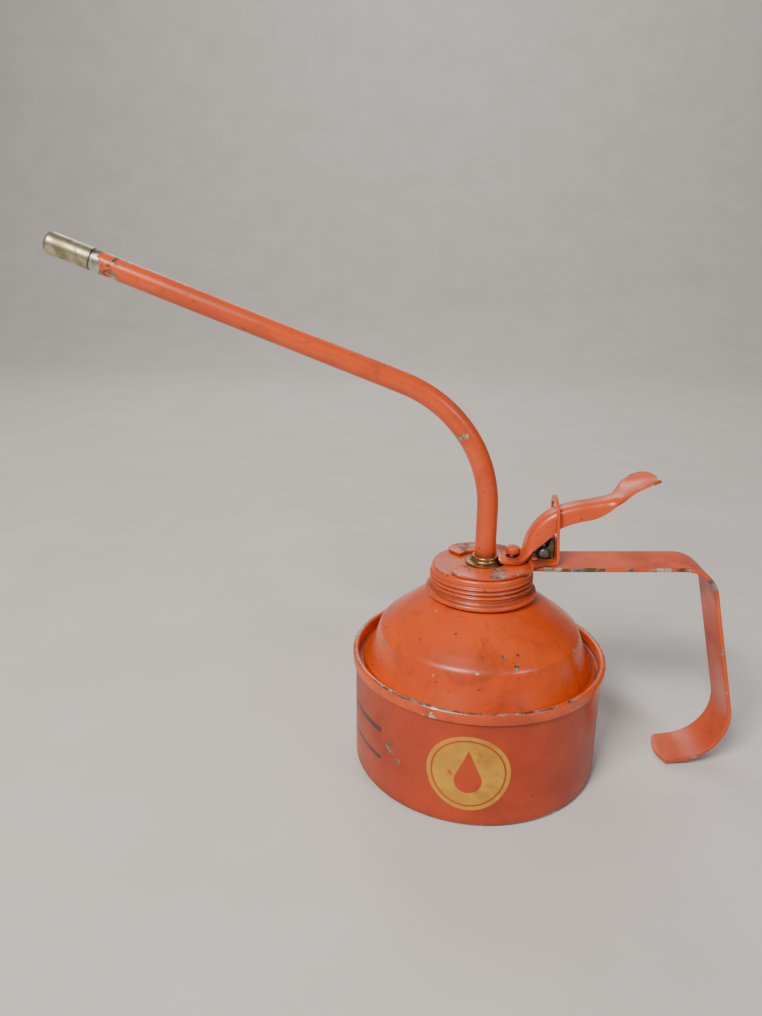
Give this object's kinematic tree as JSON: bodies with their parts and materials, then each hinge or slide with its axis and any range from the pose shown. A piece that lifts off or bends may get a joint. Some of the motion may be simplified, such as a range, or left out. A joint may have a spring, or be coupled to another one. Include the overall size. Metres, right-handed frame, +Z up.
{
  "type": "handy pump oiler can",
  "caption": "Drum-shaped hand oiler with a screw-off pump head, long bent spout, thumb lever and strap handle.",
  "frame": {"origin": "centre of the can's flat base, on the axis of the drum and the neck", "axes": "+X from the can's axis towards the handle, the spout points towards -X; +Y to the left when looking along +X; +Z up, along the drum's axis"},
  "size_m": [0.2582, 0.1, 0.2032],
  "materials": {
    "orange_paint": "worn gloss paint on tinplate, chipped to grey metal on edges",
    "bare_steel": "dull, oily",
    "brass": "aged, dull",
    "leather": "oil-soaked",
    "cork": "pressed cork, matte"
  },
  "bodies": {
    "can": {"drum_shell": "orange_paint", "shoulder_dome": "orange_paint", "threaded_neck": "orange_paint"},
    "washer": {"sealing_washer": "cork"},
    "pump_cap": {"screw_cap": "orange_paint", "lever_bracket": "orange_paint", "handle_strap": "orange_paint", "handle_rivet_front": "orange_paint", "handle_rivet_back": "orange_paint", "spout_collar": "brass", "spout_tube": "orange_paint", "spout_nozzle": "brass", "fulcrum_pin": "bare_steel", "pump_head": "brass", "rod_gland": "brass", "pump_barrel": "brass", "foot_valve_body": "brass", "inlet_strainer": "brass", "plunger_spring": "bare_steel", "outlet_spring": "bare_steel"},
    "lever": {"thumb_lever": "orange_paint", "lever_yoke": "bare_steel"},
    "plunger": {"plunger_rod": "bare_steel", "plunger_head": "orange_paint", "piston": "brass", "piston_cup": "leather", "piston_nut": "bare_steel"},
    "inlet_valve": {"inlet_ball": "bare_steel"},
    "outlet_valve": {"outlet_ball": "bare_steel"}
  },
  "joints": [
    {"name": "cap_rise", "type": "slide", "parent": "can", "child": "washer", "axis": [0, 0, 1], "range_m": [0, 0.007]},
    {"name": "cap_unscrew", "type": "hinge", "parent": "washer", "child": "pump_cap", "pos_m": [0, 0, 0.0813], "axis": [0, 0, 1], "range_deg": [0, 1440]},
    {"name": "lever_press", "type": "hinge", "parent": "pump_cap", "child": "lever", "pos_m": [0.023, 0, 0.089], "axis": [0, 1, 0], "range_deg": [0, 20], "stiffness_Nm_per_rad": 0.5, "springref_deg": -14.32},
    {"name": "plunger_lift", "type": "slide", "parent": "pump_cap", "child": "plunger", "axis": [0, 0, 1], "range_m": [0, 0.0044], "deforming": ["plunger_spring"]},
    {"name": "inlet_ball_lift", "type": "slide", "parent": "pump_cap", "child": "inlet_valve", "axis": [0, 0, 1], "range_m": [0, 0.0011]},
    {"name": "outlet_ball_lift", "type": "slide", "parent": "pump_cap", "child": "outlet_valve", "axis": [0, 0, 1], "range_m": [0, 0.0012], "stiffness_N_per_m": 20, "springref_m": -0.0005, "deforming": ["outlet_spring"]}
  ],
  "couplings": [
    {"joint": "cap_unscrew", "follows": "cap_rise", "rad_per_m": 3590.4},
    {"joint": "plunger_lift", "follows": "lever_press", "m_per_rad": 0.0122}
  ]
}
